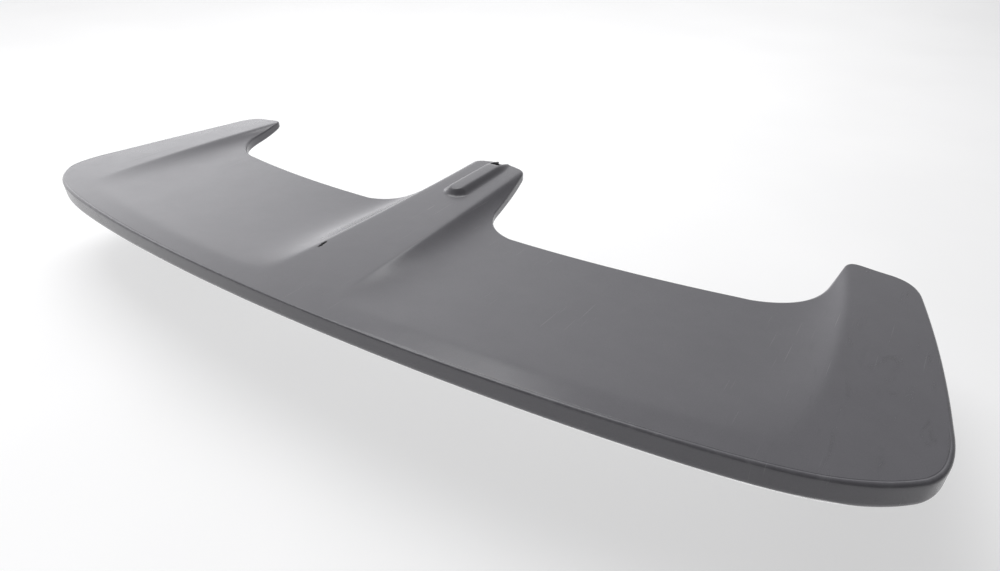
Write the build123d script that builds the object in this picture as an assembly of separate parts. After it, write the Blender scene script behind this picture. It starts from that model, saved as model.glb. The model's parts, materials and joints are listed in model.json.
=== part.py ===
from build123d import *
import math
import os

# Three-legged rear roof spoiler: a hollow two-skin moulding with a long trailing lip,
# two open windows and three legs that bolt to a tailgate.
# Design axes, mm: X to the right, Y forward from the trailing crease to the leg tips, Z up.
# Everything is moved at the end, so that the written origin is the centre leg's bolt pair.

# ---- driving dimensions -------------------------------------------------------------
HALF_WIDTH = 600.0          # half of the overall width
FRONT = 426.5               # Y of the outer legs' tips
CENTRE_FRONT = 420.6        # Y of the centre leg's tip at its corners
CENTRE_BOW = 4.6            # how far the centre tip bows forward
CROWN = 24.7                # drop of the crown from the middle to the ends
CROWN_EASE = 7.1            # easing of that drop near the ends
TWIST = 12.2                # extra drop of the outer legs' tips
CAMBER = -2.1               # fore-and-aft camber of the leg tops, hollow
LIP_HEIGHT = 25.4           # depth of the section behind the windows
LIP_GROWTH = 6.6            # extra depth at the rear corners
TIP_HEIGHT = 8.0            # depth of the section at the leg tips
TIP_FADE = 45.0             # length over which a leg thickens
EDGE_DEPTH = 7.0            # least depth of the section at its edges
PAN_DEPTH = 13.7            # depth of the pans at the middle of the window edges
PAN_TAPER = 3.3             # how much deeper a pan is 200 mm inboard of there
PAN_DISH = 0.75             # how much steeper than even a pan's floor starts
INNER_FLANK = 30.0          # distance over which a pan levels out beside the centre leg
OUTER_FLANK = 34.0          # and beside an outer leg
FLANK_TAPER = 0.45          # how much shorter those distances are at the window edges
FLANK_POWER = 1.2           # how rounded the flanks start
CREASE_SOFTNESS = 3.0       # rounding of the legs' creases
RIDGE_SOFTNESS = 0.4        # rounding of the pans' rear ridge
WALL_LEAN = 0.05            # inward lean of the lip, mm per mm, fading to none at the tips
SKIN = 2.5                  # wall of both skins
GLUE = 0.3                  # bond line between an inner piece and a skin
SEAM = 0.4                  # open seam round the lower skin

CHANNEL_START = 297.0       # Y of the raised channel's rear end
CHANNEL_FOOT = 17.0         # half width of the channel at its foot
CHANNEL_SLOPE = 42.0        # lean of the channel's sides from upright, degrees
CHANNEL_RISE = 8.0          # height of the channel
CHANNEL_ROOT = 3.0          # how far the channel's solid runs into the leg
MOUTH = 7.5                 # half width of the channel's mouth, open upwards and forwards
MOUTH_START = 401.0         # Y where the channel's roof stops

SIDE_BOW = 4.5              # how far the outer sides bow outward
LEG_X = 508.0               # X of the outer legs' bolt pairs
BOLT_Y = 347.0              # Y of the middle of each bolt pair
BOLT_SPACING = 50.0         # distance between a pair's bolts
BOSS_R = 12.0               # moulded boss round each insert
BOSS_DROP = 26.0            # depth of the boss faces under the leg's top
PLATE_OVER_PAD = 12.0       # height of the backing plate over the boss faces
PLATE_T = 2.0               # steel backing plate
INSERT_R = 4.5              # threaded insert, outside
THREAD_R = 2.5              # M6 thread, at its tapping bore
INSERT_HEAD_R = 7.0
INSERT_HEAD_T = 1.6
GASKET_R = 17.0             # foam ring round each boss
TAPE_T = 1.1                # acrylic foam tape
TAPE_W = 10.0
TAPE_L = 76.0
BEAD_W = 6.0                # structural adhesive bead between the skins
BEAD_T = 3.0
WEB_T = 3.0                 # bonded fore-and-aft webs
WEB_X = (160.0, 330.0)
SPAR_INSET = 14.0           # stiffening bar behind the lip
SPAR_W = 11.0
SPAR_REACH = 500.0

GRID_X = 20.0               # spacing of the points that carry the curved surfaces
GRID_Y = 15.0
MARGIN = 48.0               # how far those surfaces run past the outline
WORK_TOP = 20.0             # heights between which the walls are made
WORK_BOTTOM = -75.0

os.makedirs("parts", exist_ok=True)


# ---- shape of the moulding ----------------------------------------------------------
def frame_height(x, y):
    """The crowned surface that the legs' tops and the trailing band lie on."""
    u = x / HALF_WIDTH
    v = y / 400.0
    crown = -CROWN * u**2 + CROWN_EASE * u**4
    return crown - TWIST * u**2 * v + 4 * CAMBER * v * (1 - v)


def trailing_y(x):
    """The trailing crease in plan: bowed rearward, turning forward at the corners."""
    u = abs(x) / HALF_WIDTH
    return 79.6 * u**2 + 1.0 * u**4 + 54.3 * u**14


def ridge_y(x):
    """The soft ridge where a pan starts, nearly parallel to the crease."""
    return 26.5 + 87.7 * (x / HALF_WIDTH) ** 2


def window_y(x):
    """The rear edge of a window."""
    q = (abs(x) - 250.0) / 200.0
    return 272.2 + 22.4 * q + 17.5 * q**2


def centre_crease_x(y):
    """Half width of the centre leg's flat top."""
    return 40.3 + 6.6 * (412.6 - y) / 312.6


def outer_crease_x(y):
    """Inner edge of an outer leg's flat top."""
    s = (FRONT - y) / 306.0
    return 463.2 + 26.0 * s + 44.1 * s * (1 - s)


def smooth_min(a, b, blend):
    h = max(blend - abs(a - b), 0.0) / blend
    return min(a, b) - h * h * blend / 4


def flank(distance, reach):
    """Share of a pan's depth reached beside a leg: steep below the crease, then levelling."""
    beyond = (distance + math.hypot(distance, CREASE_SOFTNESS)) / 2
    return 1.0 - math.exp(-((beyond / reach) ** FLANK_POWER))


def section_depth(x, y):
    """Depth of the underside under the crowned surface."""
    u = x / HALF_WIDTH
    fade = math.exp(-max(FRONT - y, -3.0) / TIP_FADE)
    growth = LIP_GROWTH * u**2 * max(1 - y / FRONT, 0.0)
    return LIP_HEIGHT + growth - (LIP_HEIGHT - TIP_HEIGHT) * fade


def pan_drop(x, y):
    """How far the top surface lies under the crowned surface."""
    x = abs(x)
    ramp = min(max((y - ridge_y(x)) / (window_y(x) - ridge_y(x)), 0.0), 1.3)
    depth = PAN_DEPTH - PAN_TAPER * (x - 250.0) / 200.0
    floor = depth * ramp * (1 + PAN_DISH * (1 - ramp))
    tighter = 1.0 - FLANK_TAPER * ramp
    inner = flank(x - centre_crease_x(y), INNER_FLANK * tighter)
    outer = flank(outer_crease_x(y) - x, OUTER_FLANK * tighter)
    drop = floor * inner * outer
    drop = smooth_min(drop, section_depth(x, y) - EDGE_DEPTH, 3.0)
    return math.hypot(max(drop, 0.0), RIDGE_SOFTNESS) - RIDGE_SOFTNESS


def top_height(x, y):
    return frame_height(x, y) - pan_drop(x, y)


def under_height(x, y):
    return frame_height(x, y) - section_depth(x, y)


# ---- surfaces and slabs -------------------------------------------------------------
def surface(height, offset):
    columns = round(2 * (HALF_WIDTH + MARGIN) / GRID_X)
    rows = round((FRONT + 2 * MARGIN) / GRID_Y)
    step_x = 2 * (HALF_WIDTH + MARGIN) / columns
    step_y = (FRONT + 2 * MARGIN) / rows
    points = []
    for i in range(columns + 1):
        x = -HALF_WIDTH - MARGIN + i * step_x
        line = []
        for j in range(rows + 1):
            y = -MARGIN + j * step_y
            line.append((x, y, height(x, y) + offset))
        points.append(line)
    return Face.make_surface_from_array_of_points(points, tol=0.05, min_deg=3, max_deg=3)


def edge_at(face, axis, sign):
    """The border edge of a surface at one side of its rectangle."""
    edges = face.edges()
    if axis == "x":
        return max(edges, key=lambda e: sign * e.center().X)
    return max(edges, key=lambda e: sign * e.center().Y)


def slab(upper, lower):
    """The solid between two surfaces over the whole rectangle."""
    sides = []
    for axis, sign in (("x", 1), ("x", -1), ("y", 1), ("y", -1)):
        high = edge_at(upper, axis, sign)
        low = edge_at(lower, axis, sign)
        sides.append(Face.make_surface_from_curves(high, low))
    return Solid(Shell([upper, lower, *sides])).fix()


# ---- plan outline -------------------------------------------------------------------
def bezier(p0, p1, p2, t):
    """A point of the quadratic curve that rounds the corner p1."""
    a, b, c = (1 - t) ** 2, 2 * t * (1 - t), t * t
    return (a * p0[0] + b * p1[0] + c * p2[0], a * p0[1] + b * p1[1] + c * p2[1])


def toward(start, end, length):
    """The point at a distance from start on the way to end."""
    d = math.dist(start, end)
    return (start[0] + (end[0] - start[0]) * length / d, start[1] + (end[1] - start[1]) * length / d)


def rounded(before, corner, after, reach, count):
    first = toward(corner, before, reach)
    last = toward(corner, after, reach)
    return [bezier(first, corner, last, i / count) for i in range(count + 1)]


def meet(a, b, c, d):
    """Where the line through a and b crosses the line through c and d."""
    ux, uy = b[0] - a[0], b[1] - a[1]
    vx, vy = d[0] - c[0], d[1] - c[1]
    t = ((c[0] - a[0]) * vy - (c[1] - a[1]) * vx) / (ux * vy - uy * vx)
    return (a[0] + ux * t, a[1] + uy * t)


def bowed(start, end, bow):
    """The control point of an outer side that bows outward between its ends."""
    reach = 2 * bow / math.dist(start, end)
    middle = ((start[0] + end[0]) / 2, (start[1] + end[1]) / 2)
    return (middle[0] + (end[1] - start[1]) * reach, middle[1] - (end[0] - start[0]) * reach)


def straight(start, end, count):
    return [toward(start, end, math.dist(start, end) * i / count) for i in range(count + 1)]


def spaced(function, start, end, count):
    values = [start + (end - start) * i / count for i in range(count + 1)]
    return [(x, function(x)) for x in values]


def right_half():
    """Stretches of the right half, from the rear middle round to the centre tip."""
    turn = (577.4, trailing_y(577.4))
    before_turn = (576.4, trailing_y(576.4))
    side_start = (591.6, 182.2)
    side_end = (546.4, 398.9)
    side_middle = bowed(side_start, side_end, SIDE_BOW)
    side_corner = meet(before_turn, turn, side_middle, side_start)
    side_foot = meet(side_middle, side_end, (0.0, FRONT), (1.0, FRONT))
    inner_tip = (466.3, FRONT)
    outer_bend = (450.7, 319.0)
    inner_bend = (69.8, 274.0)
    centre_tip = (40.0, CENTRE_FRONT)
    rear = spaced(trailing_y, 0.0, turn[0], 18)
    corner = [bezier(turn, side_corner, side_start, i / 8) for i in range(9)]
    side = [bezier(side_start, side_middle, side_end, i / 6) for i in range(7)]
    tip_outer = [bezier(side_end, side_foot, toward(side_foot, inner_tip, 28.2), i / 6) for i in range(7)]
    tip_inner = rounded(side_foot, inner_tip, outer_bend, 13.0, 4)
    bend_end = (outer_bend[0] - 58.1, window_y(outer_bend[0] - 58.1))
    bend_start = toward(outer_bend, inner_tip, 51.6)
    outer = [bezier(bend_start, outer_bend, bend_end, i / 8) for i in range(9)]
    inner_start = (inner_bend[0] + 42.9, window_y(inner_bend[0] + 42.9))
    inner_end = toward(inner_bend, centre_tip, 42.9)
    inner = [bezier(inner_start, inner_bend, inner_end, i / 8) for i in range(9)]
    edge = spaced(window_y, bend_end[0], inner_start[0], 10)
    tip_start = toward(centre_tip, inner_bend, 14.0)
    tip_end = (centre_tip[0] - 14.0, CENTRE_FRONT + 1.2)
    tip = [bezier(tip_start, centre_tip, tip_end, i / 4) for i in range(5)]
    front = []
    for i in range(7):
        x = tip_end[0] * (1 - i / 6)
        rise = 1 - (x / tip_end[0]) ** 2
        front.append((x, tip_end[1] + (CENTRE_BOW - 1.2) * rise))
    return [
        rear,
        corner,
        side,
        tip_outer,
        straight(tip_outer[-1], tip_inner[0], 2),
        tip_inner,
        straight(tip_inner[-1], outer[0], 3),
        outer,
        edge,
        inner,
        straight(inner[-1], tip[0], 4),
        tip,
        front,
    ]


def full_outline():
    right = right_half()
    left = [[(-x, y) for x, y in reversed(run)] for run in reversed(right)]
    return right + left


def normals(points):
    """Inward unit normals at the points of a closed counter-clockwise outline."""
    result = []
    count = len(points)
    for i in range(count):
        ax, ay = points[i - 1]
        bx, by = points[(i + 1) % count]
        length = math.hypot(bx - ax, by - ay)
        result.append(((ay - by) / length, (bx - ax) / length))
    return result


def outline_wire(inset, z):
    """The outline at a height, moved inward by the wall's lean and by an inset."""
    runs = full_outline()
    chain = [p for run in runs for p in run[:-1]]
    inward = normals(chain)
    moved = []
    for (x, y), (nx, ny) in zip(chain, inward):
        lean = WALL_LEAN * (1 - y / (FRONT + CENTRE_BOW))
        distance = inset + lean * (frame_height(x, y) - z)
        moved.append((x + nx * distance, y + ny * distance, z))
    edges = []
    start = 0
    for run in runs:
        stop = start + len(run) - 1
        picked = [moved[k % len(moved)] for k in range(start, stop + 1)]
        edges.append(Spline(*picked) if len(picked) > 2 else Line(*picked))
        start = stop
    return Wire(edges)


def prism(inset, top=WORK_TOP, bottom=WORK_BOTTOM):
    """The solid inside the leaning walls, set in from them."""
    high = outline_wire(inset, top)
    low = outline_wire(inset, bottom)
    walls = [Face.make_surface_from_curves(a, b) for a, b in zip(high.edges(), low.edges())]
    return Solid(Shell([Face(high), Face(low), *walls])).fix()


def plan_box(x0, x1, y0, y1):
    width, length = x1 - x0, y1 - y0
    tall = WORK_TOP - WORK_BOTTOM
    return Pos((x0 + x1) / 2, (y0 + y1) / 2, (WORK_TOP + WORK_BOTTOM) / 2) * Box(width, length, tall)


def channel(low):
    """The raised channel: flat top, leaning sides, round rear end, running past the tip."""
    lean = math.tan(math.radians(CHANNEL_SLOPE))
    high = frame_height(0, BOLT_Y) + CHANNEL_RISE - low
    half = CHANNEL_FOOT + CHANNEL_ROOT * lean
    middle = CHANNEL_START + CHANNEL_FOOT
    length = FRONT + MARGIN - middle
    plan = Pos(0, middle) * Circle(half) + Pos(0, middle + length / 2) * Rectangle(2 * half, length)
    rise = CHANNEL_RISE + CHANNEL_ROOT
    return Pos(0, 0, high - rise) * extrude(plan, amount=rise, taper=CHANNEL_SLOPE)


def disc(x, y, radius, z0, z1):
    return Pos(x, y, (z0 + z1) / 2) * Cylinder(radius, z1 - z0)


def leg_x(leg):
    return {"left": -LEG_X, "centre": 0.0, "right": LEG_X}[leg]


def bolt_points(leg):
    x = leg_x(leg)
    return [(x, BOLT_Y - BOLT_SPACING / 2), (x, BOLT_Y + BOLT_SPACING / 2)]


def pad_height(leg):
    """Height of a leg's two flat boss faces."""
    return frame_height(leg_x(leg), BOLT_Y) - BOSS_DROP


LEGS = ("left", "centre", "right")
ORIGIN = (0.0, BOLT_Y, pad_height("centre"))


def write(name, shape):
    solids = [s for s in shape.solids() if s.volume > 1.0]
    body = Compound(children=solids) if len(solids) > 1 else solids[0]
    export_step(Pos(-ORIGIN[0], -ORIGIN[1], -ORIGIN[2]) * body, f"parts/{name}.step")


# ---- shared construction solids -----------------------------------------------------
top = surface(top_height, 0.0)
top_inside = surface(top_height, -SKIN)
top_bond = surface(top_height, -SKIN - GLUE)
under = surface(under_height, 0.0)
under_inside = surface(under_height, SKIN)
under_bond = surface(under_height, SKIN + GLUE)
bead_top = surface(under_height, SKIN + BEAD_T)
tape_face = surface(under_height, -TAPE_T)
far_below = surface(under_height, -20.0)

outer_prism = prism(0.0)
inner_prism = prism(SKIN)
floor_prism = prism(SKIN + SEAM)


# ---- the two skins ------------------------------------------------------------------
def upper_skin():
    """Top, leaning walls and lip in one moulding, open below and at the channel's mouth."""
    body = (outer_prism & slab(top, under)) + (outer_prism & channel(0.0))
    hollow = (inner_prism & slab(top_inside, far_below)) + (inner_prism & channel(SKIN))
    floor = frame_height(0, CENTRE_FRONT) - SKIN
    mouth = Pos(0, MOUTH_START + 20.0, floor + 20.0) * Box(2 * MOUTH, 40.0, 40.0)
    return body - hollow - mouth


def lower_skin():
    """The closing moulding, let in between the walls, with two bosses in each leg."""
    body = floor_prism & slab(under_inside, under)
    for leg in LEGS:
        pad = pad_height(leg)
        for x, y in bolt_points(leg):
            body += disc(x, y, BOSS_R, pad, pad + PLATE_OVER_PAD)
            body -= disc(x, y, INSERT_R, pad - 1, pad + PLATE_OVER_PAD + 1)
    return body


# ---- bonding and stiffening ---------------------------------------------------------
def bond_ring():
    return (floor_prism - prism(SKIN + SEAM + BEAD_W)) & slab(bead_top, under_inside)


def window_zone(side):
    inner, outer = centre_crease_x(CENTRE_FRONT) - 4.0, 470.0
    if side == "left":
        inner, outer = -outer, -inner
    return plan_box(inner, outer, 230.0, FRONT + MARGIN)


def web(side, x):
    x = -x if side == "left" else x
    start = trailing_y(x) + SPAR_INSET + SPAR_W + 6.0
    stop = window_y(x) - 14.0
    plan = plan_box(x - WEB_T / 2, x + WEB_T / 2, start, stop)
    return plan & slab(top_bond, under_bond)


def lip_spar():
    band = prism(SPAR_INSET) - prism(SPAR_INSET + SPAR_W)
    plan = plan_box(-SPAR_REACH, SPAR_REACH, -MARGIN, 150.0)
    return band & plan & slab(top_bond, under_bond)


# ---- mounting hardware --------------------------------------------------------------
def leg_plate(leg):
    low = pad_height(leg) + PLATE_OVER_PAD
    plate = Pos(leg_x(leg), BOLT_Y, low + PLATE_T / 2) * Box(40.0, 86.0, PLATE_T)
    plate = fillet(plate.edges().filter_by(Axis.Z), 6.0)
    for x, y in bolt_points(leg):
        plate -= disc(x, y, INSERT_R + 0.2, low - 1, low + PLATE_T + 1)
    return plate


def leg_core(leg):
    """Rigid foam over the plate, relieved round the insert heads."""
    x = leg_x(leg)
    low = pad_height(leg) + PLATE_OVER_PAD + PLATE_T + GLUE
    block = plan_box(x - 24.0, x + 24.0, BOLT_Y - 45.0, BOLT_Y + 45.0) & slab(top_bond, under_bond)
    block -= Pos(x, BOLT_Y, low - 30.0) * Box(200.0, 200.0, 60.0)
    for bolt_x, bolt_y in bolt_points(leg):
        block -= disc(bolt_x, bolt_y, INSERT_HEAD_R + 1.5, low - 1, low + 4.0)
    return block


def insert(leg, x, y):
    """Blind threaded insert, flush with the boss face, its head resting on the plate."""
    low = pad_height(leg)
    head = pad_height(leg) + PLATE_OVER_PAD + PLATE_T
    body = disc(x, y, INSERT_R, low, head) + disc(x, y, INSERT_HEAD_R, head, head + INSERT_HEAD_T)
    return body - disc(x, y, THREAD_R, low - 1, head)


def gasket(leg, x, y):
    pad = pad_height(leg)
    ring = disc(x, y, GASKET_R, pad, pad + 15.0) - disc(x, y, BOSS_R + 0.3, pad - 1, pad + 16.0)
    return ring & slab(under, far_below)


def leg_tape(leg):
    x = leg_x(leg)
    strips = []
    for side in (-1, 1):
        mid = x + side * 27.0
        y0 = BOLT_Y - 44.0
        plan = plan_box(mid - TAPE_W / 2, mid + TAPE_W / 2, y0, y0 + TAPE_L)
        strips.append(plan & slab(under, tape_face))
    return Compound(children=[s.solids()[0] for s in strips])


def all_bolts(maker):
    made = [maker(leg, x, y) for leg in LEGS for x, y in bolt_points(leg)]
    return Compound(children=[m.solids()[0] for m in made])


write("upper_skin", upper_skin())
write("lower_skin", lower_skin())
ring = bond_ring()
write("left_window_bond_bead", ring & window_zone("left"))
write("right_window_bond_bead", ring & window_zone("right"))
write("outer_bond_bead", ring - window_zone("left") - window_zone("right"))
write("lip_stiffener", lip_spar())
for side in ("left", "right"):
    for place, x in zip(("inner", "outer"), WEB_X):
        write(f"{side}_{place}_web", web(side, x))
for leg in LEGS:
    write(f"{leg}_leg_plate", leg_plate(leg))
    write(f"{leg}_leg_core", leg_core(leg))
    write(f"{leg}_leg_tape", leg_tape(leg))
write("m6_inserts", all_bolts(insert))
write("boss_gaskets", all_bolts(gasket))
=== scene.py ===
import json
import math

import bmesh
import bpy
import numpy as np
from mathutils import Matrix, Vector
from mathutils.geometry import delaunay_2d_cdt
from mathutils.kdtree import KDTree


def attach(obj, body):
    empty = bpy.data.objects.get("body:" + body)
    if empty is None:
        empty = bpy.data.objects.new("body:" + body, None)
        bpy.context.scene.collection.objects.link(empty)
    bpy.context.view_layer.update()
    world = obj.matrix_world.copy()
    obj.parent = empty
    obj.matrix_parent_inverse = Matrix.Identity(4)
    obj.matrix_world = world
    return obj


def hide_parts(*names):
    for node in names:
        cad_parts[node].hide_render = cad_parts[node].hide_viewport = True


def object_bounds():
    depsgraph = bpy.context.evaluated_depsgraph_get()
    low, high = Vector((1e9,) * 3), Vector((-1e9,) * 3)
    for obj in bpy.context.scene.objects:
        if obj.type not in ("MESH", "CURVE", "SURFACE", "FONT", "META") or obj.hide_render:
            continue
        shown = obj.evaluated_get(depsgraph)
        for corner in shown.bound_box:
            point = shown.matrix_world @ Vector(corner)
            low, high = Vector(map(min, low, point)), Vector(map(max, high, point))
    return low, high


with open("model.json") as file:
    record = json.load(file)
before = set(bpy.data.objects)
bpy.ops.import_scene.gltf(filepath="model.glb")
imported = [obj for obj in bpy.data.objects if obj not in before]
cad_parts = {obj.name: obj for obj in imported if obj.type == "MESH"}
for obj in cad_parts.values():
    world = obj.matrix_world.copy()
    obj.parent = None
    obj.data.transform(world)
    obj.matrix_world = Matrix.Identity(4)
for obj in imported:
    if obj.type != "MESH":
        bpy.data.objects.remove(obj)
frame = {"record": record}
cad_low, cad_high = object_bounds()

# Three-legged roof spoiler. Its shape laws are worked in millimetres on design axes (X right, Y forward
# from the trailing crease to the leg tips, Z up) and moved to the frame's origin as a mesh is made.

# ---- driving dimensions, mm ---------------------------------------------------------
HALF_WIDTH = 600.0          # where the side-to-side laws reach their full value
FRONT = 426.5               # Y of the outer legs' tips
CENTRE_FRONT = 420.6        # Y of the centre leg's tip at its corners
CENTRE_BOW = 4.6            # and how much further its middle reaches
CROWN = 24.7                # fall of the crowned surface toward the sides
CROWN_EASE = 7.1            # and how much of it eases off again
TWIST = 12.2                # extra fall of the outer legs toward their tips
CAMBER = -2.1               # fore-and-aft hollow
LIP_HEIGHT = 25.4           # section depth at the middle of the lip
LIP_GROWTH = 6.6            # and its growth toward the corners
TIP_HEIGHT = 8.0            # section depth at the legs' tips
TIP_FADE = 45.0             # length over which it shrinks to that
EDGE_DEPTH = 7.0            # least section depth under a pan
PAN_DEPTH = 13.7            # depth of a pan at its window
PAN_TAPER = 3.3             # how much shallower it is outboard
PAN_DISH = 0.75             # how early it reaches that depth
INNER_FLANK = 30.0          # reach of a pan's flank beside the centre leg
OUTER_FLANK = 34.0          # and beside an outer leg
FLANK_TAPER = 0.45          # how much tighter the flanks are at the window
FLANK_POWER = 1.2
CREASE_SOFTNESS = 3.0
RIDGE_SOFTNESS = 0.4
WALL_LEAN = 0.05            # inward lean of the lip's wall, as a slope
SKIN = 2.5                  # thickness of both skins
SEAM = 0.4                  # gap round the closing skin
BEAD_RECESS = 0.6           # the adhesive lies this far inside the seam's mouth
CHANNEL_START = 297.0
CHANNEL_FOOT = 17.0
CHANNEL_SLOPE = math.radians(42.0)
CHANNEL_RISE = 8.0
CHANNEL_SOFTNESS = 1.6
CHANNEL_FALL = 393.0        # Y where the channel's roof starts to turn down
CHANNEL_FALL_RUN = 30.0     # length and depth of that turn
CHANNEL_FALL_DEPTH = 5.5
MOUTH = 7.5                 # half width of the channel's open end
MOUTH_START = 401.0
SIDE_BOW = 4.5              # how far the outer sides bow outward
CHIP = (-43.5, 111.5)       # middle of the chip, on the crease
CHIP_WAY = (-0.15, 0.989)   # its direction
CHIP_LENGTH = 8.5           # half of its length and of its width
CHIP_WIDTH = 1.9
CHIP_DEPTH = 2.0
BOSS_R = 12.0
BOSS_DROP = 26.0
BOSS_HEIGHT = 12.0
INSERT_R = 4.5

LEG_MOUNTS = [m for m in frame["record"]["mounts"] if m["kind"] == "bolt_pattern"]
BOLT_SPACING = LEG_MOUNTS[0]["dims"]["spacing_y_mm"]
BOLT_Y = -1000 * cad_low.y
BOLTS = [(1000 * m["pos_m"][0], BOLT_Y + s * BOLT_SPACING / 2) for m in LEG_MOUNTS for s in (-1, 1)]

GASKET_R = 17.0
PLATE_T = 2.0               # thickness of a leg's backing plate
THREAD_R = 2.5
THREAD_PITCH = 1.0
INSERT_HEAD_R = 7.0
INSERT_HEAD_T = 1.6
LEGS = ("left", "centre", "right")

PRIMER = (0.114, 0.1115, 0.122)
PRIMER_GLOSS = 0.4
RUN_ANGLE = 0.9             # direction of the faint run marks on the left pan
RUN_PLACE = -0.2            # and their place across it, metres
FLOOR_Z = -0.12             # metres
FLOOR_GLOW = 0.57
BRIGHT_WAY = (-0.85, 0.53)  # where the bright side of the room is
SIDE_POWER = 2.8            # how quickly it darkens away from there
WALL_LIGHT = 2.05
CEILING_LIGHT = 1.5
ROOM_LIGHT = 0.12

# camera: angles in degrees, place in metres, lens in millimetres
AZIMUTH, ELEVATION, ROLL = 33.27, 31.33, -0.375
CAMERA_PLACE = (0.5135, -0.7154, 0.4006)
LENS = 25.16
SHIFT_Y = -0.0018

OUTLINE_STEP = 3.0          # spacing of points round the outline
CREASE_R = 1.8              # rounding of the trailing crease at its middle
CREASE_GROWTH = 1.7         # and how much larger it is at the corners
LIP_R = 10.5                # rounding under the lip
SIDE_R = 4.5                # rounding along the outer sides
WINDOW_R = 2.6              # rounding of the windows' edges
FLANGE = 6.0                # flat return inboard of the lower rounding
GROOVE = 0.4                # depth of the fine groove just inside the crease
GROOVE_BAND = 1.6           # least width of the fine rings that carry it


# ---- shape laws ---------------------------------------------------------------------
def frame_height(x, y):
    """The crowned surface that the legs' tops and the trailing band lie on."""
    u = x / HALF_WIDTH
    v = y / 400.0
    crown = -CROWN * u**2 + CROWN_EASE * u**4
    return crown - TWIST * u**2 * v + 4 * CAMBER * v * (1 - v)


def trailing_y(x):
    u = np.abs(x) / HALF_WIDTH
    return 79.6 * u**2 + 1.0 * u**4 + 54.3 * u**14


def ridge_y(x):
    return 26.5 + 87.7 * (x / HALF_WIDTH) ** 2


def window_y(x):
    q = (np.abs(x) - 250.0) / 200.0
    return 272.2 + 22.4 * q + 17.5 * q**2


def centre_crease_x(y):
    return 40.3 + 6.6 * (412.6 - y) / 312.6


def outer_crease_x(y):
    s = (FRONT - y) / 306.0
    return 463.2 + 26.0 * s + 44.1 * s * (1 - s)


def smooth_min(a, b, blend):
    h = np.maximum(blend - np.abs(a - b), 0.0) / blend
    return np.minimum(a, b) - h * h * blend / 4


def flank(distance, reach):
    """Share of a pan's depth reached beside a leg: steep below the crease, then levelling."""
    beyond = (distance + np.hypot(distance, CREASE_SOFTNESS)) / 2
    return 1.0 - np.exp(-((beyond / reach) ** FLANK_POWER))


def section_depth(x, y):
    u = x / HALF_WIDTH
    fade = np.exp(-np.maximum(FRONT - y, -3.0) / TIP_FADE)
    growth = LIP_GROWTH * u**2 * np.maximum(1 - y / FRONT, 0.0)
    return LIP_HEIGHT + growth - (LIP_HEIGHT - TIP_HEIGHT) * fade


def pan_drop(x, y):
    """How far the top surface lies under the crowned surface."""
    x = np.abs(x)
    ramp = np.clip((y - ridge_y(x)) / (window_y(x) - ridge_y(x)), 0.0, 1.3)
    depth = PAN_DEPTH - PAN_TAPER * (x - 250.0) / 200.0
    floor = depth * ramp * (1 + PAN_DISH * (1 - ramp))
    tighter = 1.0 - FLANK_TAPER * ramp
    inner = flank(x - centre_crease_x(y), INNER_FLANK * tighter)
    outer = flank(outer_crease_x(y) - x, OUTER_FLANK * tighter)
    drop = floor * inner * outer
    drop = smooth_min(drop, section_depth(x, y) - EDGE_DEPTH, 3.0)
    return np.hypot(np.maximum(drop, 0.0), RIDGE_SOFTNESS) - RIDGE_SOFTNESS


def channel_height(x, y):
    """The raised channel on the centre leg: flat top and leaning sides, rounded at its rear end."""
    middle = CHANNEL_START + CHANNEL_FOOT
    radius = np.hypot(x, np.minimum(y - middle, 0.0))
    crown = frame_height(0.0, BOLT_Y) + CHANNEL_RISE
    shoulder = CHANNEL_FOOT - CHANNEL_RISE * math.tan(CHANNEL_SLOPE)
    side = (radius - shoulder) / math.tan(CHANNEL_SLOPE)
    fall = np.clip((y - CHANNEL_FALL) / CHANNEL_FALL_RUN, 0.0, 1.0)
    return crown - 0.5 * (side + np.hypot(side, CHANNEL_SOFTNESS)) - CHANNEL_FALL_DEPTH * fall * fall


def top_height(x, y):
    plain = frame_height(x, y) - pan_drop(x, y)
    return -smooth_min(-plain, -channel_height(x, y), 3.0)


def under_height(x, y):
    return frame_height(x, y) - section_depth(x, y)


ORIGIN = np.array([0.0, BOLT_Y, frame_height(0.0, BOLT_Y) - BOSS_DROP])


# ---- plan outline -------------------------------------------------------------------
def bezier(p0, p1, p2, count):
    t = np.linspace(0.0, 1.0, count)[:, None]
    p0, p1, p2 = (np.array(p) for p in (p0, p1, p2))
    return (1 - t) ** 2 * p0 + 2 * t * (1 - t) * p1 + t * t * p2


def toward(start, end, length):
    start, end = np.array(start), np.array(end)
    return start + (end - start) * length / np.linalg.norm(end - start)


def rounded(before, corner, after, reach, count=24):
    return bezier(toward(corner, before, reach), corner, toward(corner, after, reach), count)


def spaced(function, start, end, count):
    x = np.linspace(start, end, count)
    return np.stack([x, function(x)], 1)


# what each stretch of the outline is, which sets its roundings: (upper, lower, flange, groove)
ROUNDING = {
    "lip": (CREASE_R, LIP_R, FLANGE, 0.0),
    "corner": (CREASE_R + CREASE_GROWTH, LIP_R, FLANGE, 0.6),
    "side": (SIDE_R, 9.0, FLANGE, 0.0),
    "tip": (2.2, 2.4, 4.0, 0.0),
    "leg": (4.0, 3.0, 4.0, 0.0),
    "window": (WINDOW_R, 3.0, 5.0, 0.0),
}


def meet(a, b, c, d):
    """Where the line through a and b crosses the line through c and d."""
    u, v, w = (np.subtract(q, p) for p, q in ((a, b), (c, d), (a, c)))
    return a + u * (w[0] * v[1] - w[1] * v[0]) / (u[0] * v[1] - u[1] * v[0])


def bowed(start, end, bow):
    """The control point of an outer side that bows outward between its ends."""
    run = end - start
    return (start + end) / 2 + np.array([run[1], -run[0]]) * 2 * bow / np.linalg.norm(run)


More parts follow.
